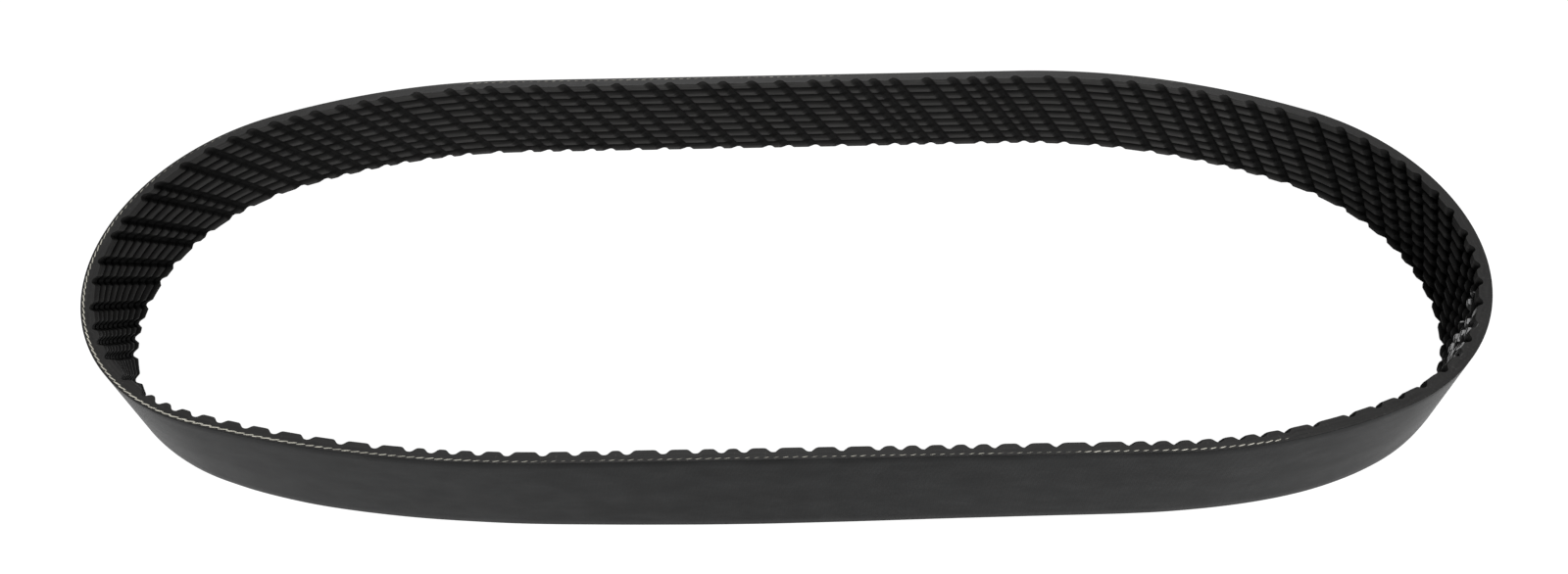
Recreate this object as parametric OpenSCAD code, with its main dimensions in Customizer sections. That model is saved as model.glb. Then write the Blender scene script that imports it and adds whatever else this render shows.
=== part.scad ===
// Endless V-ribbed belt with slanted cogs, standing on one cut edge in a relaxed oval.
// The belt is a bonded stack of layers. From the back inwards: a woven backing, over-cord
// rubber, a helically wound tensile cord, cushion rubber, and rib rubber whose V ribs are
// crossed by slanted notches of uneven pitch. Every layer is parted at ten upright flex
// lines on the cord line, so the loop can be squeezed flatter or opened rounder.
// Millimetres. +X along the loop, +Y across it, +Z up; z = 0 is the lower cut edge.

/* [Loop] */
// Length of the straight front run
front_run_l = 187; // [183:0.5:190]
// Radius of the front right shoulder, over the back
front_right_radius = 197; // [190:0.5:204]
// Turn of the front right shoulder, in degrees
front_right_turn = 23.5; // [22.5:0.5:24.5]
// Radius of the right end, over the back
right_end_radius = 75.5; // [74:0.5:77]
// Radius of the back right shoulder, over the back
back_right_radius = 232.5; // [225:0.5:240]
// Turn of the back right shoulder, in degrees
back_right_turn = 27.5; // [26.5:0.5:28.5]
// Radius of the back left shoulder, over the back
back_left_radius = 222.5; // [215:0.5:230]
// Turn of the back left shoulder, in degrees
back_left_turn = 23.5; // [22.5:0.5:24.5]
// Radius of the front left shoulder, over the back
front_left_radius = 401.5; // [392:0.5:410]
// Turn of the front left shoulder, in degrees
front_left_turn = 17; // [16:0.5:18]

/* [Section] */
// Number of V ribs on the inside
rib_count = 10; // [6:2:12]
// Distance between ribs
rib_pitch = 3.56; // [3.4:0.02:3.7]
// Thickness from the back to the rib tips
thickness = 4.95; // [4.8:0.05:5.2]
// Thickness of the woven backing
backing_t = 0.5; // [0.4:0.05:0.6]
// Depth of the cord line below the back
cord_depth = 1.2; // [1.15:0.05:1.25]
// Diameter of the tensile cord
cord_d = 0.95; // [0.8:0.05:1.0]
// Advance of the cord at each turn of its winding
cord_pitch = 1.25; // [1.2:0.05:1.4]
// Depth below the back at which the rib rubber begins
cushion_depth = 1.8; // [1.75:0.05:1.9]
// Depth of the groove bottoms between the ribs
groove_depth = 2.2; // [2.15:0.05:2.4]
// Width of a groove bottom
groove_w = 0.5; // [0.4:0.05:0.7]
// Width of a rib tip
tip_w = 1.2; // [1.0:0.05:1.4]

/* [Cogs] */
// Depth of the notch floors below the back
notch_depth = 2.5; // [2.4:0.05:2.7]
// Width of a notch floor along the belt
notch_floor_w = 1.8; // [1.4:0.1:2.2]
// Width of a notch at the rib tips along the belt
notch_top_w = 5.4; // [4.8:0.1:5.6]
// Lean of the notches: distance along the belt for each millimetre of height
notch_lean = 0.76; // [0.5:0.01:0.9]
// Where the cog sequence starts, along the back from the middle of the front
cog_start = -226.7; // [-232:0.1:-222]

/* [Flex lines] */
// Room at each side of a flex line in the backing
backing_room = 0.2; // [0.18:0.02:0.3]
// Room at each side of a flex line in the layers on the cord line
cord_room = 0.14; // [0.12:0.02:0.3]
// Room at each side of a flex line in the ribs
rib_room = 0.6; // [0.58:0.02:0.8]

/* [Hidden] */
$fn = 360;
width = rib_count * rib_pitch;
seam_room = 0.06;

// Turn of each half of the two ends
right_turn = (180 - front_right_turn - back_right_turn) / 2;
left_turn = (180 - back_left_turn - front_left_turn) / 2;
// Step across an arc of radius r that starts at heading h and turns by a
function arc(h, a, r) = [r * (sin(h + a) - sin(h)), r * (cos(h) - cos(h + a))];
right_step = arc(0, front_right_turn, front_right_radius)
    + arc(front_right_turn, 2 * right_turn, right_end_radius)
    + arc(180 - back_right_turn, back_right_turn, back_right_radius);
left_shoulders = arc(180, back_left_turn, back_left_radius)
    + arc(360 - front_left_turn, front_left_turn, front_left_radius);
// The left end and the back run close the loop
left_end_radius = (right_step[1] + left_shoulders[1])
    / (cos(360 - front_left_turn) - cos(180 + back_left_turn));
left_step = left_shoulders + arc(180 + back_left_turn, 2 * left_turn, left_end_radius);
back_run_l = front_run_l + right_step[0] + left_step[0];

// The links of the outer surface, anticlockwise: [length, radius], radius 0 = straight
function arc_l(a, r) = a * r * PI / 180;
links = [
    [front_run_l, 0], [arc_l(front_right_turn, front_right_radius), front_right_radius],
    [arc_l(right_turn, right_end_radius), right_end_radius],
    [arc_l(right_turn, right_end_radius), right_end_radius],
    [arc_l(back_right_turn, back_right_radius), back_right_radius],
    [back_run_l / 2, 0], [back_run_l / 2, 0],
    [arc_l(back_left_turn, back_left_radius), back_left_radius],
    [arc_l(left_turn, left_end_radius), left_end_radius],
    [arc_l(left_turn, left_end_radius), left_end_radius],
    [arc_l(front_left_turn, front_left_radius), front_left_radius]];
front_run = 0;
front_right = 1;
right_end_front = 2;
right_end_back = 3;
back_right = 4;
back_run_right = 5;
back_run_left = 6;
back_left = 7;
left_end_back = 8;
left_end_front = 9;
front_left = 10;

// A place on the path: [x, y, heading]; going on by u along a link of radius r
function go(p, u, r) = r == 0
    ? [p[0] + u * cos(p[2]), p[1] + u * sin(p[2]), p[2]]
    : let (h = p[2] + u / r * 180 / PI)
      [p[0] - r * sin(p[2]) + r * sin(h), p[1] + r * cos(p[2]) - r * cos(h), h];
// The loop's box is centred on the origin: its ends are the outermost points of the two end arcs
far_right = front_run_l + arc(0, front_right_turn, front_right_radius)[0]
    + right_end_radius * (1 - sin(front_right_turn));
far_left = -arc(360 - front_left_turn, front_left_turn, front_left_radius)[0]
    - left_end_radius * (1 + sin(360 - front_left_turn));
function start(i) = i == 0 ? [-(far_right + far_left) / 2, -right_step[1] / 2, 0]
    : go(start(i - 1), links[i - 1][0], links[i - 1][1]);
function s_start(i) = i == 0 ? -front_run_l / 2 : s_start(i - 1) + links[i - 1][0];
starts = [for (i = [0 : len(links) - 1]) start(i)];
s_at = [for (i = [0 : len(links)]) s_start(i)];
loop = s_at[len(links)] - s_at[0];

// s brought into the first lap, its link, and the place there
function lap(s) = s < s_at[0] ? lap(s + loop) : s >= s_at[0] + loop ? lap(s - loop) : s;
function link_of(s, i = len(links) - 1) = s >= s_at[i] || i == 0 ? i : link_of(s, i - 1);
function place(s) = let (t = lap(s), i = link_of(t)) go(starts[i], t - s_at[i], links[i][1]);

// Cog sequence of the loop, one letter a cog, from short (a) to long (f)
cog_code = str(
    "abccdeeeeaabcedcaedbacedeaabaacdeeaaaaaabdfdcdedbbedbbbeddbb",
    "cdefedcacedfdfdabdfbabcfeebfbfdeebdbbffbcdbbcbdefafbfdfdbbfea");
cog_size = [7, 8, 9, 10, 11.2, 13];
function cog(j) = cog_size[search(cog_code[j], "abcdef")[0]];
function cog_sum(n) = n == 0 ? 0 : cog_sum(n - 1) + cog(n - 1);
cog_scale = loop / cog_sum(len(cog_code));
// Where each notch meets the upper cut edge
notch_s = [for (j = [0 : len(cog_code) - 1]) lap(cog_start + cog_scale * cog_sum(j))];

// One link with the section given as children, x = depth and y = height, and room at its ends
module run(i, room) {
    r = links[i][1];
    a = i == back_run_left ? seam_room : room;
    b = links[i][0] - (i == back_run_right ? seam_room : room);
    p = go(starts[i], a, r);
    if (r == 0)
        translate([p[0], p[1], 0]) rotate(p[2]) rotate([90, 0, 90])
            linear_extrude(b - a) children();
    else
        translate([p[0] - r * sin(p[2]), p[1] + r * cos(p[2]), 0]) rotate(p[2] - 90)
            rotate_extrude(angle = (b - a) / r * 180 / PI)
                translate([r, 0]) mirror([1, 0]) children();
}

// Heights of the cord's turns in one link: the winding climbs one pitch each lap
function turns(i) = let (climb = ((s_at[i] + links[i][0] / 2) / loop + 0.37) * cord_pitch)
    [for (n = [-2 : 40]) let (z = climb + n * cord_pitch)
        if (z > -cord_d / 4 && z < width + cord_d / 4) z];
module cord_section(i) {
    intersection() {
        union() for (z = turns(i)) translate([cord_depth, z]) circle(d = cord_d, $fn = 24);
        square([thickness, width]);
    }
}
module slab(d0, d1) { translate([d0, 0]) square([d1 - d0, width]); }

module rib_section() {
    polygon(concat(
        [[cushion_depth, 0], [groove_depth, 0]],
        [for (n = [0 : rib_count - 1], q = [
            [groove_depth, groove_w / 2], [thickness, rib_pitch / 2 - tip_w / 2],
            [thickness, rib_pitch / 2 + tip_w / 2], [groove_depth, rib_pitch - groove_w / 2]])
            [q[0], n * rib_pitch + q[1]]],
        [[groove_depth, width], [cushion_depth, width]]));
}

// One stretch of a notch, centred at height z, leaning along the belt
module notch_part(s, z, l) {
    p = place(s - notch_lean * (width - z));
    lean = atan(notch_lean);
    c = cos(lean) / 2;
    slope = (notch_top_w - notch_floor_w) / (thickness - notch_depth);
    translate([p[0], p[1], z]) rotate(p[2]) rotate([0, lean, 0])
        linear_extrude(l, center = true)
            polygon([[-notch_floor_w * c, notch_depth], [notch_floor_w * c, notch_depth],
                [(notch_top_w + slope) * c, thickness + 1], [-(notch_top_w + slope) * c, thickness + 1]]);
}
// A whole notch: one stretch on a straight run, and shorter ones on the curves
function tight(r) = r > 0 && r < 100;
module notch(s) {
    e = sqrt(1 + pow(notch_lean, 2));
    r1 = links[link_of(lap(s - notch_lean * width))][1];
    r2 = links[link_of(lap(s))][1];
    n = r1 == 0 && r2 == 0 ? 1 : tight(r1) || tight(r2) ? rib_count / 2 : 3;
    h = width / n;
    for (m = [0 : n - 1]) {
        lo = m == 0 ? -3 : -0.25;
        hi = m == n - 1 ? 3 : 0.25;
        notch_part(s, (m + 0.5) * h + (n == 1 ? 0 : (lo + hi) / 2), (h + hi - lo) * e);
    }
}
module notches(i) {
    for (s = notch_s, turn = [-1, 0, 1]) {
        t = s + turn * loop;
        if (t + 4 > s_at[i] && t - notch_lean * width - 4 < s_at[i + 1]) notch(s);
    }
}

module backing(i) { color("#4a4a4c") run(i, backing_room) slab(0, backing_t); }
module over_cord(i) {
    color("#2b2b2c") run(i, cord_room) difference() { slab(backing_t, cord_depth); cord_section(i); }
}
module cords(i) { color("#e4d9bd") run(i, cord_room) cord_section(i); }
module cushion(i) {
    color("#242425") run(i, cord_room) difference() { slab(cord_depth, cushion_depth); cord_section(i); }
}
module ribs(i) { color("#1b1b1c") difference() { run(i, rib_room) rib_section(); notches(i); } }

module backing_fabric_front_run() { backing(front_run); }
module backing_fabric_front_right() { backing(front_right); }
module backing_fabric_right_end_front() { backing(right_end_front); }
module backing_fabric_right_end_back() { backing(right_end_back); }
module backing_fabric_back_right() { backing(back_right); }
module backing_fabric_back_run_right() { backing(back_run_right); }
module backing_fabric_back_run_left() { backing(back_run_left); }
module backing_fabric_back_left() { backing(back_left); }
module backing_fabric_left_end_back() { backing(left_end_back); }
module backing_fabric_left_end_front() { backing(left_end_front); }
module backing_fabric_front_left() { backing(front_left); }

module over_cord_rubber_front_run() { over_cord(front_run); }
module over_cord_rubber_front_right() { over_cord(front_right); }
module over_cord_rubber_right_end_front() { over_cord(right_end_front); }
module over_cord_rubber_right_end_back() { over_cord(right_end_back); }
module over_cord_rubber_back_right() { over_cord(back_right); }
module over_cord_rubber_back_run_right() { over_cord(back_run_right); }
module over_cord_rubber_back_run_left() { over_cord(back_run_left); }
module over_cord_rubber_back_left() { over_cord(back_left); }
module over_cord_rubber_left_end_back() { over_cord(left_end_back); }
module over_cord_rubber_left_end_front() { over_cord(left_end_front); }
module over_cord_rubber_front_left() { over_cord(front_left); }

module tensile_cord_front_run() { cords(front_run); }
module tensile_cord_front_right() { cords(front_right); }
module tensile_cord_right_end_front() { cords(right_end_front); }
module tensile_cord_right_end_back() { cords(right_end_back); }
module tensile_cord_back_right() { cords(back_right); }
module tensile_cord_back_run_right() { cords(back_run_right); }
module tensile_cord_back_run_left() { cords(back_run_left); }
module tensile_cord_back_left() { cords(back_left); }
module tensile_cord_left_end_back() { cords(left_end_back); }
module tensile_cord_left_end_front() { cords(left_end_front); }
module tensile_cord_front_left() { cords(front_left); }

module cushion_rubber_front_run() { cushion(front_run); }
module cushion_rubber_front_right() { cushion(front_right); }
module cushion_rubber_right_end_front() { cushion(right_end_front); }
module cushion_rubber_right_end_back() { cushion(right_end_back); }
module cushion_rubber_back_right() { cushion(back_right); }
module cushion_rubber_back_run_right() { cushion(back_run_right); }
module cushion_rubber_back_run_left() { cushion(back_run_left); }
module cushion_rubber_back_left() { cushion(back_left); }
module cushion_rubber_left_end_back() { cushion(left_end_back); }
module cushion_rubber_left_end_front() { cushion(left_end_front); }
module cushion_rubber_front_left() { cushion(front_left); }

module rib_rubber_front_run() { ribs(front_run); }
module rib_rubber_front_right() { ribs(front_right); }
module rib_rubber_right_end_front() { ribs(right_end_front); }
module rib_rubber_right_end_back() { ribs(right_end_back); }
module rib_rubber_back_right() { ribs(back_right); }
module rib_rubber_back_run_right() { ribs(back_run_right); }
module rib_rubber_back_run_left() { ribs(back_run_left); }
module rib_rubber_back_left() { ribs(back_left); }
module rib_rubber_left_end_back() { ribs(left_end_back); }
module rib_rubber_left_end_front() { ribs(left_end_front); }
module rib_rubber_front_left() { ribs(front_left); }

backing_fabric_front_run();
backing_fabric_front_right();
backing_fabric_right_end_front();
backing_fabric_right_end_back();
backing_fabric_back_right();
backing_fabric_back_run_right();
backing_fabric_back_run_left();
backing_fabric_back_left();
backing_fabric_left_end_back();
backing_fabric_left_end_front();
backing_fabric_front_left();
over_cord_rubber_front_run();
over_cord_rubber_front_right();
over_cord_rubber_right_end_front();
over_cord_rubber_right_end_back();
over_cord_rubber_back_right();
over_cord_rubber_back_run_right();
over_cord_rubber_back_run_left();
over_cord_rubber_back_left();
over_cord_rubber_left_end_back();
over_cord_rubber_left_end_front();
over_cord_rubber_front_left();
tensile_cord_front_run();
tensile_cord_front_right();
tensile_cord_right_end_front();
tensile_cord_right_end_back();
tensile_cord_back_right();
tensile_cord_back_run_right();
tensile_cord_back_run_left();
tensile_cord_back_left();
tensile_cord_left_end_back();
tensile_cord_left_end_front();
tensile_cord_front_left();
cushion_rubber_front_run();
cushion_rubber_front_right();
cushion_rubber_right_end_front();
cushion_rubber_right_end_back();
cushion_rubber_back_right();
cushion_rubber_back_run_right();
cushion_rubber_back_run_left();
cushion_rubber_back_left();
cushion_rubber_left_end_back();
cushion_rubber_left_end_front();
cushion_rubber_front_left();
rib_rubber_front_run();
rib_rubber_front_right();
rib_rubber_right_end_front();
rib_rubber_right_end_back();
rib_rubber_back_right();
rib_rubber_back_run_right();
rib_rubber_back_run_left();
rib_rubber_back_left();
rib_rubber_left_end_back();
rib_rubber_left_end_front();
rib_rubber_front_left();
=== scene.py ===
"""Looks of a cogged V-ribbed belt that stands on its lower cut edge in an oval.

The belt is drawn in its own sheared coordinates: s runs along the back, z up the width and
d inwards from the back. The notches lean, so mesh lines run along s - LEAN * z.
"""
import math

import bpy
import numpy as np
from mathutils import Matrix, Vector


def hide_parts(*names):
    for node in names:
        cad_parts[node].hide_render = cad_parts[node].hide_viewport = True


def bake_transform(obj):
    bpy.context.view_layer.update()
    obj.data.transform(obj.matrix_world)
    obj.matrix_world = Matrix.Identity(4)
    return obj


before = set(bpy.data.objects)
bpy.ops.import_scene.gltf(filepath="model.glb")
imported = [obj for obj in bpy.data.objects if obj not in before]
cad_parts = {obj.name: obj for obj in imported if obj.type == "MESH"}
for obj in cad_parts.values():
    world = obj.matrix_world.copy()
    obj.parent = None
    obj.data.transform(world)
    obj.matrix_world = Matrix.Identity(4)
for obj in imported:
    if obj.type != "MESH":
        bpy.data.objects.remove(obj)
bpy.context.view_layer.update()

# ------------------------------------------------------------------ sizes, millimetres
# Straight front run, then radius and turn of each arc over the back
FRONT_RUN = 187.0
FRONT_RIGHT, BACK_RIGHT = (197.0, 23.5), (232.5, 27.5)
BACK_LEFT, FRONT_LEFT = (222.5, 23.5), (401.5, 17.0)
RIGHT_END_R = 75.5
RIBS, RIB_PITCH = 10, 3.56
W = RIBS * RIB_PITCH
T = 4.95
BACKING = 0.5
CORD_D, CORD_SHOWN_D = 1.2, 0.99
LEAN = 0.76
COG_START = -226.7
COG_CODE = ("abccdeeeeaabcedcaedbacedeaabaacdeeaaaaaabdfdcdedbbedbbbeddbb"
            "cdefedcacedfdfdabdfbabcfeebfbfdeebdbbffbcdbbcbdefafbfdfdbbfea")
COG_SIZE = {"a": 7.0, "b": 8.0, "c": 9.0, "d": 10.0, "e": 11.2, "f": 13.0}
MM = 0.001

# ------------------------------------------------------------------ path of the back
def arc(heading, turn, r):
    """Step across an arc of radius r that starts at a heading and turns, in degrees."""
    a, b = math.radians(heading), math.radians(heading + turn)
    return np.array([r * (math.sin(b) - math.sin(a)), r * (math.cos(a) - math.cos(b))])


right_turn = (180 - FRONT_RIGHT[1] - BACK_RIGHT[1]) / 2
left_turn = (180 - BACK_LEFT[1] - FRONT_LEFT[1]) / 2
right_step = (arc(0, FRONT_RIGHT[1], FRONT_RIGHT[0]) + arc(FRONT_RIGHT[1], 2 * right_turn, RIGHT_END_R)
              + arc(180 - BACK_RIGHT[1], BACK_RIGHT[1], BACK_RIGHT[0]))
left_shoulders = arc(180, BACK_LEFT[1], BACK_LEFT[0]) + arc(360 - FRONT_LEFT[1], FRONT_LEFT[1], FRONT_LEFT[0])
# The left end and the back run close the loop
LEFT_END_R = ((right_step[1] + left_shoulders[1])
              / (math.cos(math.radians(360 - FRONT_LEFT[1])) - math.cos(math.radians(180 + BACK_LEFT[1]))))
left_step = left_shoulders + arc(180 + BACK_LEFT[1], 2 * left_turn, LEFT_END_R)
BACK_RUN = FRONT_RUN + right_step[0] + left_step[0]
far_right = FRONT_RUN + arc(0, FRONT_RIGHT[1], FRONT_RIGHT[0])[0] + RIGHT_END_R * (1 - math.sin(math.radians(FRONT_RIGHT[1])))
far_left = (-arc(360 - FRONT_LEFT[1], FRONT_LEFT[1], FRONT_LEFT[0])[0]
            - LEFT_END_R * (1 + math.sin(math.radians(360 - FRONT_LEFT[1]))))


def arc_l(turn, r):
    return math.radians(turn) * r


LINKS = [
    ("front_run", FRONT_RUN, 0.0), ("front_right", arc_l(FRONT_RIGHT[1], FRONT_RIGHT[0]), FRONT_RIGHT[0]),
    ("right_end_front", arc_l(right_turn, RIGHT_END_R), RIGHT_END_R),
    ("right_end_back", arc_l(right_turn, RIGHT_END_R), RIGHT_END_R),
    ("back_right", arc_l(BACK_RIGHT[1], BACK_RIGHT[0]), BACK_RIGHT[0]),
    ("back_run_right", BACK_RUN / 2, 0.0), ("back_run_left", BACK_RUN / 2, 0.0),
    ("back_left", arc_l(BACK_LEFT[1], BACK_LEFT[0]), BACK_LEFT[0]),
    ("left_end_back", arc_l(left_turn, LEFT_END_R), LEFT_END_R),
    ("left_end_front", arc_l(left_turn, LEFT_END_R), LEFT_END_R),
    ("front_left", arc_l(FRONT_LEFT[1], FRONT_LEFT[0]), FRONT_LEFT[0])]


def go(p, u, r):
    x, y, h = p
    if r == 0:
        return (x + u * math.cos(h), y + u * math.sin(h), h)
    g = h + u / r
    return (x - r * math.sin(h) + r * math.sin(g), y + r * math.cos(h) - r * math.cos(g), g)


starts, s_at = [(-(far_right + far_left) / 2, -right_step[1] / 2, 0.0)], [-FRONT_RUN / 2]
for _, length, radius in LINKS:
    starts.append(go(starts[-1], length, radius))
    s_at.append(s_at[-1] + length)
LOOP = s_at[-1] - s_at[0]
S_AT = np.array(s_at)
START = np.array(starts)
RADIUS = np.array([r for _, _, r in LINKS])


def along(s):
    """x, y and heading of the back at each s."""
    s = np.asarray(s, float)
    t = (s - S_AT[0]) % LOOP + S_AT[0]
    i = np.clip(np.searchsorted(S_AT, t, side="right") - 1, 0, len(LINKS) - 1)
    u, r = t - S_AT[i], RADIUS[i]
    x0, y0, h0 = START[i, 0], START[i, 1], START[i, 2]
    safe = np.where(r == 0, 1.0, r)
    h = np.where(r == 0, h0, h0 + u / safe)
    x = np.where(r == 0, x0 + u * np.cos(h0), x0 - r * np.sin(h0) + r * np.sin(h))
    y = np.where(r == 0, y0 + u * np.sin(h0), y0 + r * np.cos(h0) - r * np.cos(h))
    return x, y, h


# The belt stands a little out of plumb: [s, how far the lower edge is drawn in]
PLUMB = [(0, -1.05), (30, -0.55), (60, -0.2), (85, 0.0), (106, 0.65), (120, 0.6), (148, 0.0), (165, 0.2), (182, 1.2),
         (200, 1.9), (214, 1.5), (236, 0.0), (800, 0.0), (840, 0.6), (870, 1.5), (900, 2.3), (914, 2.2), (930, 1.4),
         (944, 0.3), (965, -0.25), (990, 0.0), (1020, 0.25), (1045, -0.1), (1070, -0.8), (1095, -1.25), (1115, -1.35)]
PLUMB_S = np.arange(round(LOOP)) * LOOP / round(LOOP)
PLUMB_D = np.interp(PLUMB_S, [v[0] for v in PLUMB], [v[1] for v in PLUMB], period=LOOP)
for _ in range(2):             # no kinks in the bent edge
    PLUMB_D = sum(np.roll(PLUMB_D, k) for k in range(-5, 6)) / 11


def point(s, d, z):
    """Places in metres: s along the back, d inwards from it, z up."""
    x, y, h = along(s)
    drawn_in = np.interp(np.asarray(s, float), PLUMB_S, PLUMB_D, period=LOOP)
    d = d + drawn_in * (1 - z / W)
    return np.stack([x - d * np.sin(h), y + d * np.cos(h), np.broadcast_to(z, x.shape)], -1) * MM


# ------------------------------------------------------------------ ribs and notches
cogs = np.array([COG_SIZE[c] for c in COG_CODE])
cogs = cogs * (LOOP / cogs.sum())
# Where each notch crosses the lower edge, z = 0
notch = COG_START - LEAN * W + np.concatenate([[0.0], np.cumsum(cogs)[:-1]])

# Half profiles as (thickness of the belt there, distance): from a notch's middle, from a groove's middle
NOTCH_HALF = [(2.86, 0.0), (2.89, 0.38), (2.99, 0.74), (3.18, 1.06), (4.10, 1.96), (4.55, 2.36), (4.80, 2.68), (4.95, 3.25)]
RIB_HALF = [(2.20, 0.0), (2.27, 0.24), (2.50, 0.39), (3.18, 0.63), (4.10, 0.963), (4.55, 1.127), (4.80, 1.26), (4.95, 1.50)]
# The upper cut leaves the first rib nearly full: (thickness, distance below the upper edge)
TOP_RIB = [(4.95, 1.30), (4.80, 0.86), (4.62, 0.40), (4.42, 0.0)]


# The notches' lean along the loop, by their place on the upper edge: [s, lean]
LEANS = [(0, 0.76), (150, 0.74), (320, 0.68), (500, 0.71), (700, 0.75), (780, 0.80), (818, 0.85), (848, 0.92), (880, 0.96),
         (915, 0.92), (960, 0.84), (1030, 0.77)]


def row_s(at, z):
    """Where a mesh line across the belt is at height z: every line keeps its place on the upper edge."""
    at = np.asarray(at, float)
    lean = np.interp(at + LEAN * W, [v[0] for v in LEANS], [v[1] for v in LEANS], period=LOOP)
    return at + LEAN * W - lean * (W - z)


def s_lines():
    """Mesh lines across the belt, as (s - LEAN * z, thickness that the notches leave), and each notch's line."""
    at, thick, middle = [], [], []
    for j, c in enumerate(cogs):
        middle.append(len(at))
        for t, u in NOTCH_HALF:
            at.append(notch[j] + u)
            thick.append(t)
        land = c - 2 * NOTCH_HALF[-1][1]
        parts = max(1, int(round(land / 2.0)))
        for k in range(1, parts):
            at.append(notch[j] + NOTCH_HALF[-1][1] + land * k / parts)
            thick.append(T)
        for t, u in NOTCH_HALF[:0:-1]:
            at.append(notch[j] + c - u)
            thick.append(t)
    return np.array(at), np.array(thick), np.array(middle)


def z_lines():
    z, thick = [], []
    for k in range(RIBS):
        for t, u in RIB_HALF:
            z.append(k * RIB_PITCH + u)
            thick.append(t)
        z.append((k + 0.5) * RIB_PITCH)
        thick.append(T)
        for t, u in TOP_RIB if k == RIBS - 1 else RIB_HALF[:0:-1]:
            z.append((k + 1) * RIB_PITCH - u)
            thick.append(t)
    return np.array(z), np.array(thick)


AT, NOTCH_T, NOTCH_ROW = s_lines()
RIB_Z, RIB_T = z_lines()
ROWS = len(AT)


class Ring:
    """A closed section swept round the loop: rows run along s - LEAN * z, columns round the section."""

    def __init__(self, depth, height, material, edge_w, ground_and_painted_light, fleck=None):
        self.depth = depth            # rows x columns
        self.ground_and_painted_light = ground_and_painted_light          # rows x columns: paleness, 1 where grinding or cutting left the rubber pale, 0 in notches and grooves; on the rib side it also carries painted light and shade
        self.fleck = fleck            # rows x columns: true where the ribs have a shiny fleck
        self.height = height          # columns
        self.material = material      # columns: material of the strip to the next column
        self.edge_w = edge_w          # columns: second UV coordinate
        self.columns = len(height)
        self.s = row_s(AT[:, None], height[None, :])
        self.co = point(self.s, depth, height[None, :] + 0 * depth)


def crossing(t_notch, t_rib):
    """1 or 2 where a cell of the rib side holds the crease of notch wall and rib flank on that diagonal, else 0."""
    same = np.abs(t_notch[:, None] - t_rib[None, :]) < 1e-6
    nxt = np.roll(same, -1, 0)
    steep = (np.abs(np.roll(t_notch, -1) - t_notch)[:, None] > 1e-6) & (np.abs(np.diff(t_rib))[None, :] > 1e-6)
    a = same[:, :-1] & nxt[:, 1:] & steep
    b = same[:, 1:] & nxt[:, :-1] & steep
    return np.where(a, 1, np.where(b, 2, 0))


def full_mesh(ring, crease, name):
    """The whole loop as one mesh, only to read smooth normals from, with its faces in row order."""
    rows, cols = ROWS, ring.columns
    faces, row_of, mats = [], [], []
    idx = np.arange(rows * cols).reshape(rows, cols)
    for j in range(rows):
        a, b = idx[j], idx[(j + 1) % rows]
        for i in range(cols):
            k = (i + 1) % cols
            c = crease[j, i] if crease is not None and i < crease.shape[1] else 0
            quad = (a[i], b[i], b[k], a[k])
            if c == 1:      # a[i] to b[k]
                made = [(quad[0], quad[1], quad[2]), (quad[0], quad[2], quad[3])]
            elif c == 2:    # b[i] to a[k]
                made = [(quad[0], quad[1], quad[3]), (quad[1], quad[2], quad[3])]
            else:
                made = [quad]
            for f in made:
                faces.append(f)
                row_of.append(j)
                mats.append(2 if ring.fleck is not None and ring.fleck[j, i] else ring.material[i])
    me = bpy.data.meshes.new(name)
    me.from_pydata(ring.co.reshape(-1, 3).tolist(), [], faces)
    me.polygons.foreach_set("use_smooth", np.ones(len(faces), bool))
    me.update()
    me.set_sharp_from_angle(angle=math.radians(38))
    normals = np.empty(len(me.loops) * 3, np.float32)
    me.corner_normals.foreach_get("vector", normals)
    starts_ = np.empty(len(faces), np.int32)
    me.polygons.foreach_get("loop_start", starts_)
    out = (faces, np.array(row_of), np.array(mats), normals.reshape(-1, 3), starts_)
    bpy.data.meshes.remove(me)
    return out


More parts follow.
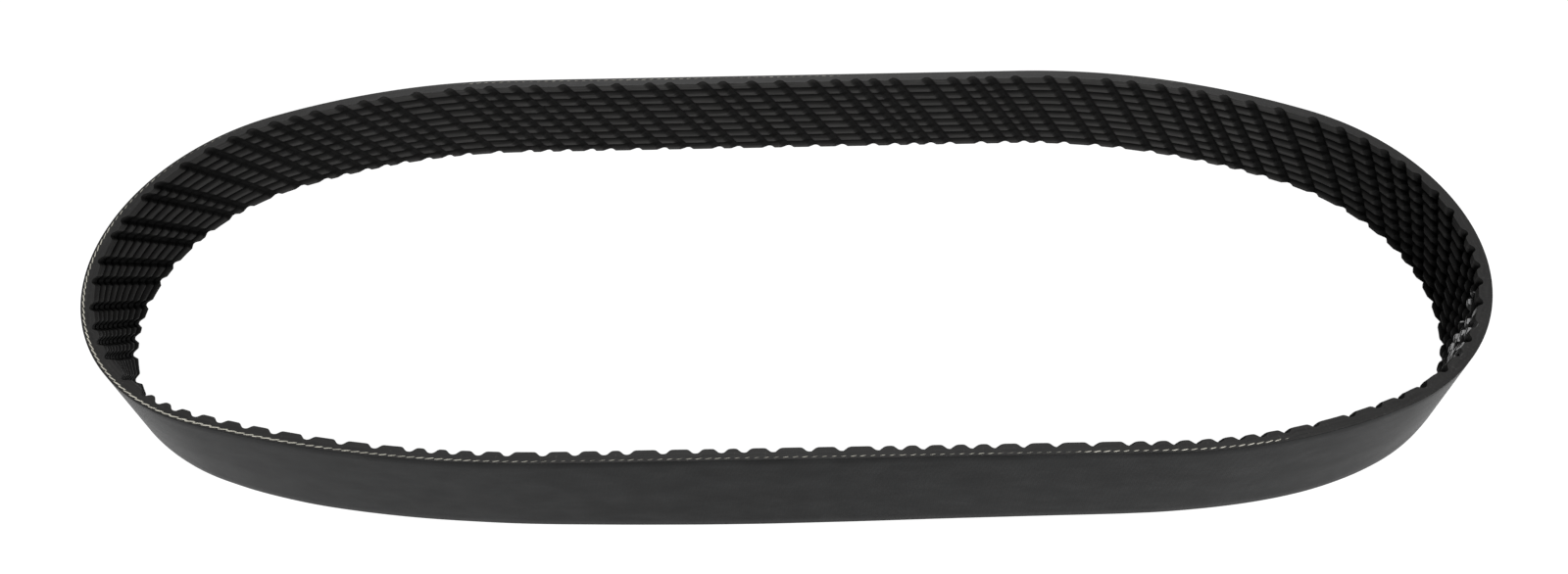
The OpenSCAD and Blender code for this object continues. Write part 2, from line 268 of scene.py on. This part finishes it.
def cut_piece(ring, whole, row0, row1, name, materials, relief=(0.0, 0.0)):
    """Rows row0 to row1 of the loop as a closed piece, with the whole loop's normals. row1 may pass the last row.
    relief draws the first and the last row back by that many mm."""
    faces, row_of, mats, normals, start = whole
    rows = [r % ROWS for r in range(row0, row1 + 1)]
    cols = ring.columns
    new_row = {}
    for n, r in enumerate(rows):
        new_row.setdefault(r, n)
    pick = {r: [] for r in rows[:-1]}
    for f, r in enumerate(row_of):
        if r in pick:
            pick[r].append(f)
    co = ring.co[rows].copy()
    for row, nxt, back in ((0, 1, relief[0]), (-1, -2, relief[1])):
        way = co[nxt] - co[row]
        co[row] += way / np.linalg.norm(way, axis=-1, keepdims=True) * back * MM
    co = co.reshape(-1, 3)
    # s without a jump along the piece
    lap = np.array([(row0 + n) // ROWS for n in range(len(rows))])
    s = ring.s[rows] + (lap * LOOP)[:, None]
    poly, corner_n, mat_i = [], [], []
    for n, r in enumerate(rows[:-1]):
        for f in pick[r]:
            face = faces[f]
            out = []
            for v in face:
                vr, vc = divmod(v, cols)
                out.append((n if vr == r else n + 1) * cols + vc)
            poly.append(out)
            corner_n.append(normals[start[f]:start[f] + len(face)])
            mat_i.append(mats[f])
    last = len(rows) - 1
    for row, flip in ((0, False), (last, True)):
        cap = [row * cols + c for c in range(cols)]
        if flip:
            cap.reverse()
        poly.append(cap)
        a, b = co[row * cols:(row + 1) * cols].mean(0), None
        other = co[(1 if row == 0 else last - 1) * cols:(2 if row == 0 else last) * cols].mean(0)
        b = a - other
        b = b / np.linalg.norm(b)
        corner_n.append(np.tile(b, (cols, 1)))
        mat_i.append(int(ring.material[-1]))
    me = bpy.data.meshes.new(name)
    me.from_pydata(co.tolist(), [], poly)
    me.polygons.foreach_set("use_smooth", np.ones(len(poly), bool))
    me.polygons.foreach_set("material_index", np.array(mat_i, np.int32))
    uv = me.uv_layers.new(name="belt")
    vi = np.empty(len(me.loops), np.int32)
    me.loops.foreach_get("vertex_index", vi)
    uu = np.stack([s.reshape(-1), np.tile(ring.edge_w, len(rows))], -1) * MM
    uv.data.foreach_set("uv", uu[vi].astype(np.float32).ravel())
    ground_and_painted_light = me.attributes.new("ground_and_painted_light", "FLOAT", "POINT")
    ground_and_painted_light.data.foreach_set("value", ring.ground_and_painted_light[rows].reshape(-1).astype(np.float32))
    me.update()
    me.normals_split_custom_set(np.concatenate(corner_n).tolist())
    for m in materials:
        me.materials.append(m)
    ob = bpy.data.objects.new(name, me)
    bpy.context.scene.collection.objects.link(ob)
    return ob


# ------------------------------------------------------------------ materials
class Nodes:
    """Small helper to write node materials."""

    def __init__(self, name):
        self.mat = bpy.data.materials.new(name)
        self.mat.use_nodes = True
        self.tree = self.mat.node_tree
        self.bsdf = self.tree.nodes["Principled BSDF"]

    def new(self, kind, **props):
        n = self.tree.nodes.new(kind)
        for k, v in props.items():
            setattr(n, k, v)
        return n

    def put(self, socket, value):
        if isinstance(value, bpy.types.NodeSocket):
            self.tree.links.new(value, socket)
        elif value is not None:
            socket.default_value = value

    def math(self, op, a, b=None, c=None, clamp=False):
        n = self.new("ShaderNodeMath", operation=op, use_clamp=clamp)
        for socket, v in zip(n.inputs, (a, b, c)):
            self.put(socket, v)
        return n.outputs[0]

    def uv(self):
        n = self.new("ShaderNodeUVMap", uv_map="belt")
        sep = self.new("ShaderNodeSeparateXYZ")
        self.tree.links.new(n.outputs[0], sep.inputs[0])
        return n.outputs[0], sep.outputs[0], sep.outputs[1]

    def attr(self, name):
        return self.new("ShaderNodeAttribute", attribute_name=name).outputs["Fac"]

    def scaled(self, vector, scale):
        n = self.new("ShaderNodeMapping")
        self.put(n.inputs["Vector"], vector)
        n.inputs["Scale"].default_value = scale
        return n.outputs[0]

    def noise(self, vector, scale, detail=3.0, rough=0.55, dims="3D"):
        n = self.new("ShaderNodeTexNoise", noise_dimensions=dims)
        self.put(n.inputs["Vector"], vector)
        n.inputs["Scale"].default_value = scale
        n.inputs["Detail"].default_value = detail
        n.inputs["Roughness"].default_value = rough
        return n.outputs["Fac"]

    def ramp(self, fac, *stops):
        n = self.new("ShaderNodeValToRGB")
        self.put(n.inputs[0], fac)
        e = n.color_ramp.elements
        while len(e) < len(stops):
            e.new(0.5)
        for el, (p, c) in zip(e, stops):
            el.position = p
            el.color = c if len(c) == 4 else (*c, 1.0)
        return n.outputs[0]

    def mix(self, fac, a, b, blend="MIX"):
        n = self.new("ShaderNodeMix", data_type="RGBA", blend_type=blend)
        self.put(n.inputs[0], fac)
        self.put(n.inputs[6], a)
        self.put(n.inputs[7], b)
        return n.outputs[2]

    def map(self, v, a, b, c, d):
        n = self.new("ShaderNodeMapRange")
        self.put(n.inputs[0], v)
        for socket, x in zip(n.inputs[1:5], (a, b, c, d)):
            socket.default_value = x
        return n.outputs[0]

    def bump(self, height, strength, distance, normal=None):
        n = self.new("ShaderNodeBump")
        self.put(n.inputs["Height"], height)
        n.inputs["Strength"].default_value = strength
        n.inputs["Distance"].default_value = distance
        if normal is not None:
            self.put(n.inputs["Normal"], normal)
        return n.outputs[0]


def grey(v, warm=0.0):
    return (v * (1 + warm), v, v * (1 - warm), 1.0)


def backing_material():
    """Rubbered cloth, bias cut: two sets of flat threads that cross at a shallow angle, the falling one on top."""
    m = Nodes("backing_cloth")
    uv, s, z = m.uv()
    turns = 2 * round(LOOP / 1.3 / 2)
    ps, pz = LOOP / turns * MM, 0.62 * MM          # repeat along and across the belt
    a = m.math("ADD", m.math("DIVIDE", s, ps), m.math("DIVIDE", z, pz))
    b = m.math("SUBTRACT", m.math("DIVIDE", s, ps), m.math("DIVIDE", z, pz))

    def thread(x):
        f = m.math("FRACT", x)
        f = m.math("MULTIPLY_ADD", f, 2.0, -1.0)
        return m.math("SUBTRACT", 1.0, m.math("MULTIPLY", f, f))
    weave = m.math("MAXIMUM", thread(a), m.math("MULTIPLY", thread(b), 0.55))
    # rubber fills the weave unevenly
    fill = m.noise(m.scaled(uv, (70, 160, 1)), 1.0, 4.0)
    weave = m.math("MULTIPLY", weave, m.map(fill, 0.3, 0.7, 0.45, 1.0))
    wear = m.noise(m.scaled(uv, (9, 70, 1)), 1.0, 5.0, 0.6)
    fine = m.noise(m.scaled(uv, (900, 1900, 1)), 1.0, 3.0)
    col = m.ramp(weave, (0.0, grey(0.0022, -0.02)), (0.55, grey(0.0045, -0.02)), (1.0, grey(0.0095, -0.02)))
    col = m.mix(m.map(wear, 0.40, 0.75, 0.0, 0.34), col, grey(0.011, -0.03))
    col = m.mix(m.map(fine, 0.55, 0.8, 0.0, 0.30), col, grey(0.014, -0.02))
    m.put(m.bsdf.inputs["Base Color"], col)
    rough = m.math("ADD", m.map(weave, 0.0, 1.0, 0.46, 0.38), m.map(wear, 0.3, 0.7, -0.03, 0.04))
    m.put(m.bsdf.inputs["Roughness"], rough)
    n = m.bump(weave, 0.95, 0.00005)
    n = m.bump(fine, 0.22, 0.00003, n)
    m.put(m.bsdf.inputs["Normal"], n)
    m.bsdf.inputs["Specular IOR Level"].default_value = 0.08
    m.bsdf.inputs["Sheen Weight"].default_value = 0.03
    m.bsdf.inputs["Sheen Roughness"].default_value = 0.45
    return m.mat


def edge_material():
    """The cut edge: rubber sliced by a blade, with faint drag lines along the belt and torn specks."""
    m = Nodes("cut_edge_rubber")
    uv, s, z = m.uv()
    drag = m.noise(m.scaled(uv, (60, 4200, 1)), 1.0, 4.0)
    speck = m.noise(m.scaled(uv, (1500, 1900, 1)), 1.0, 2.0)
    col = m.ramp(drag, (0.3, grey(0.012, 0.02)), (0.7, grey(0.022, 0.02)))
    col = m.mix(m.map(speck, 0.60, 0.78, 0.0, 0.6), col, grey(0.055, 0.03))
    m.put(m.bsdf.inputs["Base Color"], col)
    m.put(m.bsdf.inputs["Roughness"], m.map(speck, 0.2, 0.8, 0.44, 0.60))
    n = m.bump(drag, 0.35, 0.00005)
    n = m.bump(speck, 0.35, 0.00006, n)
    m.put(m.bsdf.inputs["Normal"], n)
    m.bsdf.inputs["Specular IOR Level"].default_value = 0.34
    return m.mat


def rib_material():
    """Fibre-filled rib rubber: near black in the notches and grooves, greyer on the tips that grinding left pale, with
    painted light and shade along the loop mixed into that paleness.
    """
    m = Nodes("rib_rubber")
    uv, s, z = m.uv()
    # This paleness attribute carries the grinding paleness plus painted light and shade: painted shade at the right
    # end, painted light in the back run's notches and in the notch mouths
    tip_and_painted_light = m.attr("ground_and_painted_light")
    grind = m.noise(m.scaled(uv, (90, 2600, 1)), 1.0, 4.0)
    flock = m.noise(m.scaled(uv, (2600, 900, 1)), 1.0, 3.0)
    mottle = m.noise(m.scaled(uv, (160, 160, 1)), 1.0, 4.0)
    low = m.ramp(mottle, (0.3, grey(0.0013)), (0.7, grey(0.0030)))
    high = m.ramp(grind, (0.3, grey(0.016, 0.02)), (0.7, grey(0.029, 0.02)))
    col = m.mix(tip_and_painted_light, low, high)
    col = m.mix(m.math("MULTIPLY", m.map(flock, 0.62, 0.80, 0.0, 0.4), tip_and_painted_light), col, grey(0.030))
    m.put(m.bsdf.inputs["Base Color"], col)
    m.put(m.bsdf.inputs["Roughness"], m.math("ADD", m.map(tip_and_painted_light, 0.0, 1.0, 0.60, 0.46), m.map(flock, 0.3, 0.7, -0.05, 0.08)))
    m.bsdf.inputs["Specular IOR Level"].default_value = 0.01
    n = m.bump(flock, 0.30, 0.00005)
    n = m.bump(grind, 0.30, 0.00004, n)
    m.put(m.bsdf.inputs["Normal"], n)
    return m.mat


def rubbed_material():
    """Flecks of the rib tips that are rubbed smooth."""
    m = Nodes("rib_rubber_rubbed")
    m.bsdf.inputs["Base Color"].default_value = grey(0.010)
    m.bsdf.inputs["Roughness"].default_value = 0.26
    m.bsdf.inputs["Specular IOR Level"].default_value = 0.75
    return m.mat


def cord_material():
    """Cream twisted yarn with fine filaments; rubber is smeared over it where the cut only grazed it."""
    m = Nodes("cream_cord")
    uv, s, z = m.uv()
    clean = m.attr("clean")
    hair = m.noise(m.scaled(uv, (700, 9000, 1)), 1.0, 3.0)
    smear = m.noise(m.scaled(uv, (240, 60, 1)), 1.0, 3.0)
    col = m.ramp(hair, (0.25, (0.29, 0.278, 0.23)), (0.55, (0.53, 0.512, 0.445)), (0.85, (0.75, 0.737, 0.675)))
    amount = m.math("ADD", clean, m.map(smear, 0.3, 0.7, -0.30, 0.30), clamp=True)
    col = m.mix(amount, (0.030, 0.029, 0.026, 1.0), col)
    m.put(m.bsdf.inputs["Base Color"], col)
    m.put(m.bsdf.inputs["Roughness"], m.map(hair, 0.2, 0.8, 0.85, 0.6))
    m.put(m.bsdf.inputs["Normal"], m.bump(hair, 0.4, 0.00004))
    m.bsdf.inputs["Specular IOR Level"].default_value = 0.2
    return m.mat


MAT_BACK, MAT_EDGE, MAT_RIB, MAT_CORD = backing_material(), edge_material(), rib_material(), cord_material()
MAT_RUBBED = rubbed_material()

# ------------------------------------------------------------------ the two swept sections
# Rubber: rib side from the lower to the upper edge, then the upper cut edge, the bond to the backing, the lower cut edge
inner_t = np.minimum(NOTCH_T[:, None], RIB_T[None, :])
# Towards the upper edge the corner between notch and rib is worn round
for col, worn in ((-1, 0.85), (-2, 0.60), (-3, 0.30)):
    share = np.clip(0.5 + 0.5 * (NOTCH_T - RIB_T[col]) / worn, 0.0, 1.0)
    inner_t[:, col] = RIB_T[col] * share + NOTCH_T * (1 - share) - worn * share * (1 - share)
top_share, low_share = (0.66, 0.33), (0.33, 0.66)
top_d = np.stack([BACKING + (inner_t[:, -1] - BACKING) * f for f in top_share], -1)
low_d = np.stack([BACKING + (inner_t[:, 0] - BACKING) * f for f in low_share], -1)
ones = np.ones((ROWS, 1))
bond_z = np.array([W, 0.66 * W, 0.33 * W, 0.0])
rub_depth = np.concatenate([inner_t, top_d, BACKING * np.repeat(ones, 4, 1), low_d], 1)
rub_height = np.concatenate([RIB_Z, [W, W], bond_z, [0.0, 0.0]])
n_in = len(RIB_Z)
rub_mat = np.concatenate([np.ones(n_in - 1, int), np.zeros(3, int), np.zeros(3, int), np.zeros(3, int)])
rub_w = np.concatenate([RIB_Z, W + 1.6 - 1.0 * np.array(top_share), W - BACKING + 0 * bond_z + np.array([0.9, 8, 16, 24]), [-0.7, -0.3]])


def ease(v, a, b):
    u = np.clip((v - a) / (b - a), 0.0, 1.0)
    return u * u * (3 - 2 * u)


# The lowest flank was cut with the lower edge, so it is as pale
outer = RIB_Z < 1.4
inner_ground_and_painted_light = np.where(outer[None, :], ease(NOTCH_T, 2.95, 3.7)[:, None], ease(NOTCH_T, 3.7, 4.8)[:, None] * ease(RIB_T, 3.2, 4.75)[None, :])
# Painted light: the notch mouths near the upper edge are painted paler, where the notch heads would be in shade
mouth = 0.42 * ease(RIB_Z, W - 2.2, W - 0.6)
inner_ground_and_painted_light = np.maximum(inner_ground_and_painted_light, mouth[None, :])
# Painted light and shade round the loop, darker at the right end and paler in the notches along the back: (s, paleness
# in the notches, paleness on the tips)
PAINTED_LIGHT_AND_SHADE = [(0, 0.08, 0.80), (200, 0.05, 0.85), (235, 0.02, 0.85), (262, 0.0, 0.70), (285, 0.0, 0.42), (312, 0.0, 0.45),
        (335, 0.03, 0.66), (370, 0.08, 0.95), (430, 0.15, 0.85), (700, 0.16, 0.82), (760, 0.10, 0.80), (800, 0.03, 0.75),
        (840, 0.06, 0.92), (900, 0.06, 0.90)]
rib_s = row_s(AT[:, None], RIB_Z[None, :])
painted_light_notches = np.interp(rib_s, [v[0] for v in PAINTED_LIGHT_AND_SHADE], [v[1] for v in PAINTED_LIGHT_AND_SHADE], period=LOOP)
painted_light_tips = np.interp(rib_s, [v[0] for v in PAINTED_LIGHT_AND_SHADE], [v[2] for v in PAINTED_LIGHT_AND_SHADE], period=LOOP)
# Mix the painted light and shade into the rib side's paleness
inner_ground_and_painted_light = painted_light_notches + (painted_light_tips - painted_light_notches) * inner_ground_and_painted_light
# A short stretch of the right end is rubbed shiny in flecks
shiny = ease(rib_s % LOOP, 198, 209) * (1 - ease(rib_s % LOOP, 228, 241)) * ease(RIB_Z, 8, 16)[None, :]
rub_ground_and_painted_light = np.concatenate([inner_ground_and_painted_light, np.ones((ROWS, rub_depth.shape[1] - n_in))], 1)
chance = np.random.default_rng(11).random((ROWS // 4 + 1, RIBS))
rib_of = np.clip((RIB_Z / RIB_PITCH).astype(int), 0, RIBS - 1)
fleck = (chance[np.arange(ROWS)[:, None] // 4, rib_of[None, :]] < 0.45 * shiny) & (RIB_T > 4.0)[None, :]
fleck[:, -1] = False
rub_fleck = np.concatenate([fleck, np.zeros((ROWS, rub_depth.shape[1] - n_in), bool)], 1)
RUBBER = Ring(rub_depth, rub_height, rub_mat, rub_w, rub_ground_and_painted_light, rub_fleck)
CREASE = crossing(NOTCH_T, RIB_T)

# Backing: outer face with small worn corners, and the bond face
BEVEL = 0.10
face_z = np.concatenate([[BEVEL], np.linspace(0, W, 13)[1:-1], [W - BEVEL]])
back_height = np.concatenate([[0.0, 0.03], face_z, [W - 0.03, W, W, 0.0]])
back_d = np.concatenate([[BEVEL, 0.03], 0 * face_z, [0.03, BEVEL, BACKING, BACKING]])
back_height, back_d = back_height[::-1].copy(), back_d[::-1].copy()
back_mat = np.zeros(len(back_d), int)
back_mat[[1, -1]] = 1          # the cloth's own cut edges
BACK = Ring(np.repeat(back_d[None, :], ROWS, 0), back_height, back_mat, back_height.copy(), np.ones((ROWS, len(back_d))))

whole_rubber = full_mesh(RUBBER, CREASE, "whole_rubber")
whole_back = full_mesh(BACK, None, "whole_back")

# ------------------------------------------------------------------ pieces, one set for each flex line
FLEX = [("front_run", "front_right"), ("front_right", "right_end_front"), ("right_end_front", "right_end_back"),
        ("right_end_back", "back_right"), ("back_right", "back_run_right"),
        ("back_run_left", "back_left"), ("back_left", "left_end_back"), ("left_end_back", "left_end_front"),
        ("left_end_front", "front_left"), ("front_left", "front_run")]
INDEX = {n: i for i, (n, _, _) in enumerate(LINKS)}


def middle_row(s):
    """The notch line nearest to s at mid width, as a row number that keeps counting up over laps."""
    want = s - LEAN * W / 2
    n = np.concatenate([notch - LOOP, notch, notch + LOOP, notch + 2 * LOOP])
    r = np.concatenate([NOTCH_ROW - ROWS, NOTCH_ROW, NOTCH_ROW + ROWS, NOTCH_ROW + 2 * ROWS])
    return int(r[np.argmin(np.abs(n - want))])


seam_s = s_at[INDEX["back_run_left"]]
bounds_s = [0.0]
for name in ("front_right", "right_end_front", "right_end_back", "back_right"):
    i = INDEX[name]
    bounds_s.append((s_at[i] + s_at[i + 1]) / 2)
bounds_s.append(seam_s)
for name in ("back_left", "left_end_back", "left_end_front", "front_left"):
    i = INDEX[name]
    bounds_s.append((s_at[i] + s_at[i + 1]) / 2)
bounds_s.append(LOOP)
bound_rows = [middle_row(s) for s in bounds_s]
bound_rows[-1] = bound_rows[0] + ROWS


# How the cut edge meets the wound cord over one lap from the front middle: [s, depth of the cord's middle, how clean it shows]
CORD_LAP = [
    (0, 0.42, 0.55), (36, 0.42, 0.55), (42, 0.44, 0.28), (64, 0.44, 0.30), (70, 0.40, 0.85), (126, 0.40, 0.85), (134, 0.50, 0.25),
    (140, 0.62, 0.0), (385, 0.62, 0.0), (395, 0.47, 0.20), (428, 0.47, 0.22), (436, 0.60, 0.05), (515, 0.58, 0.05), (528, 0.45, 0.42),
    (600, 0.43, 0.55), (672, 0.44, 0.50), (684, 0.54, 0.15), (745, 0.54, 0.15), (760, 0.45, 0.38), (815, 0.40, 0.52),
    (835, 0.32, 0.85), (925, 0.30, 0.90), (965, 0.33, 0.75), (1010, 0.38, 0.62), (1050, 0.42, 0.38), (1090, 0.43, 0.34)]


def cord_lap(s):
    t = s % LOOP
    at = [v[0] for v in CORD_LAP] + [LOOP]
    sink = np.interp(t, at, [v[1] for v in CORD_LAP] + [CORD_LAP[0][1]])
    clean = np.interp(t, at, [v[2] for v in CORD_LAP] + [CORD_LAP[0][2]])
    return sink + 0.015 * np.sin(t / 11.0) + 0.012 * np.sin(t / 4.3 + 1), clean


def strands(s0, s1, upper, name):
    """Three plies of the wound cord where the cut edge slices it, between s0 and s1."""
    pitch, ply, orbit, sides = 8.85, 0.235, 0.25, 8
    count = max(2, int((s1 - s0) / 0.30))
    s = np.linspace(s0, s1, count + 1)
    sink, clean = cord_lap(s if upper else s + 400)
    # the ends follow the slanted lines between the pieces
    lean = np.interp(s if upper else s + LEAN * W, [v[0] for v in LEANS], [v[1] for v in LEANS], period=LOOP)
    co, poly, uvs, cl = [], [], [], []
    for k in range(3):
        ang = -2 * math.pi * (s / pitch + k / 3)
        cd = CORD_SHOWN_D + orbit * np.cos(ang)
        cz = (W - sink if upper else sink) + orbit * np.sin(ang)
        base = len(co)
        for q in range(sides):
            th = 2 * math.pi * q / sides
            d = cd + ply * math.cos(th)
            z = cz + ply * math.sin(th)
            z = np.minimum(z, W + 0.05) if upper else np.maximum(z, -0.02)
            co.append(point(s - lean * (W - z) if upper else s + lean * z, d, z))
        ring = np.stack(co[base:base + sides], 1)
        co[base:] = [ring.reshape(-1, 3)]
        off = sum(len(c) for c in co[:-1])
        for n in range(count):
            for q in range(sides):
                p = (q + 1) % sides
                poly.append((off + n * sides + q, off + (n + 1) * sides + q, off + (n + 1) * sides + p, off + n * sides + p))
        poly.append(tuple(off + q for q in range(sides)))
        poly.append(tuple(off + count * sides + q for q in reversed(range(sides))))
        uvs.append(np.stack([np.repeat(s, sides), np.tile(np.arange(sides) * 0.18 + 2 * k, count + 1)], -1) * MM)
        cl.append(np.repeat(clean, sides))
    return np.concatenate(co), poly, np.concatenate(uvs), np.concatenate(cl)


def cord_piece(row0, row1, name, relief=(0.0, 0.0)):
    def s_of(row, z):
        return float(row_s(AT[row % ROWS], z)) + (row // ROWS) * LOOP
    parts, off, polys, uvs, clean = [], 0, [], [], []
    for upper in (True, False):
        z = W if upper else 0.0
        co, poly, uv, cl = strands(s_of(row0, z) + relief[0], s_of(row1, z) - relief[1], upper, name)
        parts.append(co)
        polys += [tuple(v + off for v in f) for f in poly]
        uvs.append(uv)
        clean.append(cl)
        off += len(co)
    me = bpy.data.meshes.new(name)
    me.from_pydata(np.concatenate(parts).tolist(), [], polys)
    me.polygons.foreach_set("use_smooth", np.ones(len(polys), bool))
    layer = me.uv_layers.new(name="belt")
    vi = np.empty(len(me.loops), np.int32)
    me.loops.foreach_get("vertex_index", vi)
    layer.data.foreach_set("uv", np.concatenate(uvs)[vi].astype(np.float32).ravel())
    shown = me.attributes.new("clean", "FLOAT", "POINT")
    shown.data.foreach_set("value", np.concatenate(clean).astype(np.float32))
    me.materials.append(MAT_CORD)
    me.update()
    ob = bpy.data.objects.new(name, me)
    bpy.context.scene.collection.objects.link(ob)
    return ob


SEAM = 0.02    # each half of the back run stops this far from the seam, so that they slide past each other
for n, (a, b) in enumerate(FLEX):
    row0, row1 = bound_rows[n], bound_rows[n + 1]
    tag = f"{a}_to_{b}"
    hinge_s = s_at[INDEX[b]]
    x, y, h = (float(v) for v in along(hinge_s))
    x, y = x - CORD_D * math.sin(h), y + CORD_D * math.cos(h)
    relief = (SEAM if a == "back_run_left" else 0.0, SEAM if b == "back_run_right" else 0.0)
    rubber = cut_piece(RUBBER, whole_rubber, row0, row1, f"rib_rubber_{tag}", [MAT_EDGE, MAT_RIB, MAT_RUBBED], relief)
    back = cut_piece(BACK, whole_back, row0, row1, f"backing_cloth_{tag}", [MAT_BACK, MAT_EDGE], relief)
    cord = cord_piece(row0, row1, f"tensile_cord_{tag}", relief)
    for ob, slot, layers in ((rubber, "rib_rubber", ("over_cord_rubber", "cushion_rubber", "rib_rubber")),
                             (back, "backing", ("backing_fabric",)), (cord, "tensile_cord", ("tensile_cord",))):
        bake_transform(ob)
        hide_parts(*[f"{layer}_{link}" for layer in layers for link in (a, b)])

# ------------------------------------------------------------------ floor, light, camera
floor_me = bpy.data.meshes.new("floor")
R = 6.0
floor_me.from_pydata([(-R, -R, -0.0001), (R, -R, -0.0001), (R, R, -0.0001), (-R, R, -0.0001)], [], [(0, 1, 2, 3)])
floor = bpy.data.objects.new("floor", floor_me)
bpy.context.scene.collection.objects.link(floor)
fm = Nodes("pale_floor")
fm.bsdf.inputs["Base Color"].default_value = (0.08, 0.08, 0.08, 1)
fm.bsdf.inputs["Roughness"].default_value = 0.9
fm.bsdf.inputs["Specular IOR Level"].default_value = 0.1
fm.bsdf.inputs["Emission Color"].default_value = (1, 1, 1, 1)
fm.bsdf.inputs["Emission Strength"].default_value = 1.0
floor_me.materials.append(fm.mat)

world = bpy.data.worlds.new("studio")
bpy.context.scene.world = world
world.use_nodes = True
bg = world.node_tree.nodes["Background"]
bg.inputs["Color"].default_value = (1, 1, 1, 1)
bg.inputs["Strength"].default_value = 0.08


def area(name, at, aim, size, power):
    light = bpy.data.lights.new(name, "AREA")
    light.shape = "RECTANGLE"
    light.size, light.size_y = size
    light.energy = power
    ob = bpy.data.objects.new(name, light)
    ob.location = at
    ob.rotation_euler = (Vector(aim) - Vector(at)).to_track_quat("-Z", "Y").to_euler()
    bpy.context.scene.collection.objects.link(ob)


area("front_softbox", (0.15, -2.4, 1.35), (0, 0, 0), (1.6, 1.0), 136)
area("back_softbox", (0.0, 1.1, 0.95), (0, 0.05, 0.02), (1.3, 0.4), 8)
area("left_softbox", (-1.0, -0.3, 0.45), (0, 0, 0.02), (0.5, 0.7), 0.3)
area("right_softbox", (1.0, -0.3, 0.45), (0, 0, 0.02), (0.5, 0.7), 2.0)

# Camera, read from the photograph's perspective: millimetres in the belt's frame
yaw = 0.00532
e, r = math.radians(49.457), math.radians(1.3029)
fwd = Vector((0, math.cos(e), -math.sin(e)))
down = Vector((0, -math.sin(e), -math.cos(e)))
right = Vector((1, 0, 0))
cam_right = math.cos(r) * right + math.sin(r) * down
cam_down = -math.sin(r) * right + math.cos(r) * down
turn = Matrix.Rotation(yaw, 3, "Z")
cam_right, cam_down, fwd = turn @ cam_right, turn @ cam_down, turn @ fwd
eye = (turn @ Vector((-22.143, -310.372, 370.805)) + Vector((23.693, 3.462, 0.0))) * MM
cam = bpy.data.cameras.new("camera")
cam.sensor_fit = "HORIZONTAL"
cam.sensor_width = 36.0
cam.lens = 1330 / 1600 * 36
cam.shift_x = -3.6 / 1600
cam.clip_start = 0.01
cam_ob = bpy.data.objects.new("camera", cam)
m = Matrix.Identity(4)
for k in range(3):
    m[k][0], m[k][1], m[k][2], m[k][3] = cam_right[k], -cam_down[k], -fwd[k], eye[k]
cam_ob.matrix_world = m
bpy.context.scene.collection.objects.link(cam_ob)
bpy.context.scene.camera = cam_ob
bpy.context.scene.view_settings.view_transform = "Standard"
bpy.context.scene.view_settings.look = "None"
